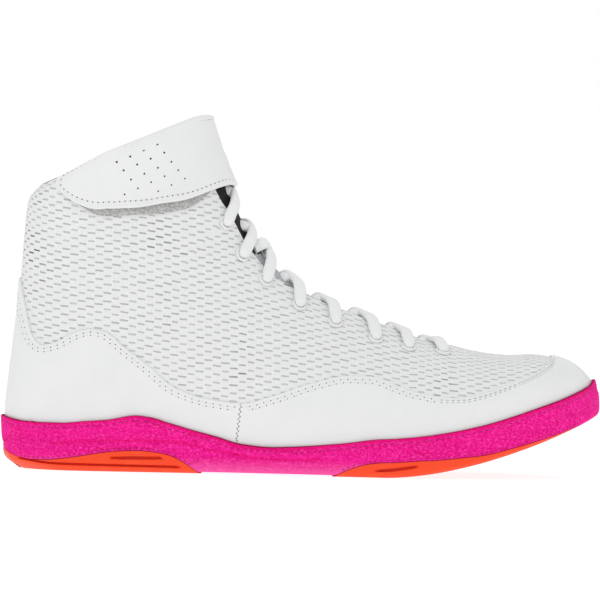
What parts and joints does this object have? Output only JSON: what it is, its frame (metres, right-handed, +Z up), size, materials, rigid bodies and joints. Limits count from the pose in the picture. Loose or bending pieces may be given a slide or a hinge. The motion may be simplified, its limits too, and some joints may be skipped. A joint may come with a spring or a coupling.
{
  "type": "wrestling shoe",
  "caption": "high-top right wrestling shoe in white mesh with leather overlays, ankle strap, laces, pink suede midsole and orange rubber pods",
  "frame": {"origin": "centre of the heel's flat rest, on the floor", "axes": "+X to the toe along the shoe's length, +Z up, -Y to the outer side of this right shoe"},
  "size_m": [0.2899, 0.1009, 0.1721],
  "materials": {
    "mesh": "white knitted mesh with short dark openings",
    "leather": "smooth white coated leather, satin",
    "suede": "pink suede with a fine nap",
    "rubber": "orange moulded rubber, satin",
    "lining": "black knitted lining",
    "loop": "grey brushed loop fabric",
    "eyelet": "white edge-painted ring",
    "lace": "white woven flat lace"
  },
  "bodies": {
    "root": {"heel_outsole": "rubber", "forefoot_outsole": "rubber", "suede_midsole": "suede", "insole": "lining", "upper": "mesh", "tongue": "lining", "rear_overlay": "leather", "front_overlay": "leather", "strap_loop_patch": "loop", "ankle_strap": "leather", "outer_eyelet_1": "eyelet", "inner_eyelet_1": "eyelet", "lace_crossing_1": "lace", "outer_eyelet_2": "eyelet", "inner_eyelet_2": "eyelet", "lace_crossing_2": "lace", "outer_eyelet_3": "eyelet", "inner_eyelet_3": "eyelet", "lace_crossing_3": "lace", "outer_eyelet_4": "eyelet", "inner_eyelet_4": "eyelet", "lace_crossing_4": "lace", "outer_eyelet_5": "eyelet", "inner_eyelet_5": "eyelet", "lace_crossing_5": "lace", "outer_eyelet_6": "eyelet", "inner_eyelet_6": "eyelet", "lace_crossing_6": "lace", "outer_eyelet_7": "eyelet", "inner_eyelet_7": "eyelet", "lace_crossing_7": "lace", "outer_eyelet_8": "eyelet", "inner_eyelet_8": "eyelet", "lace_crossing_8": "lace"}
  },
  "joints": []
}
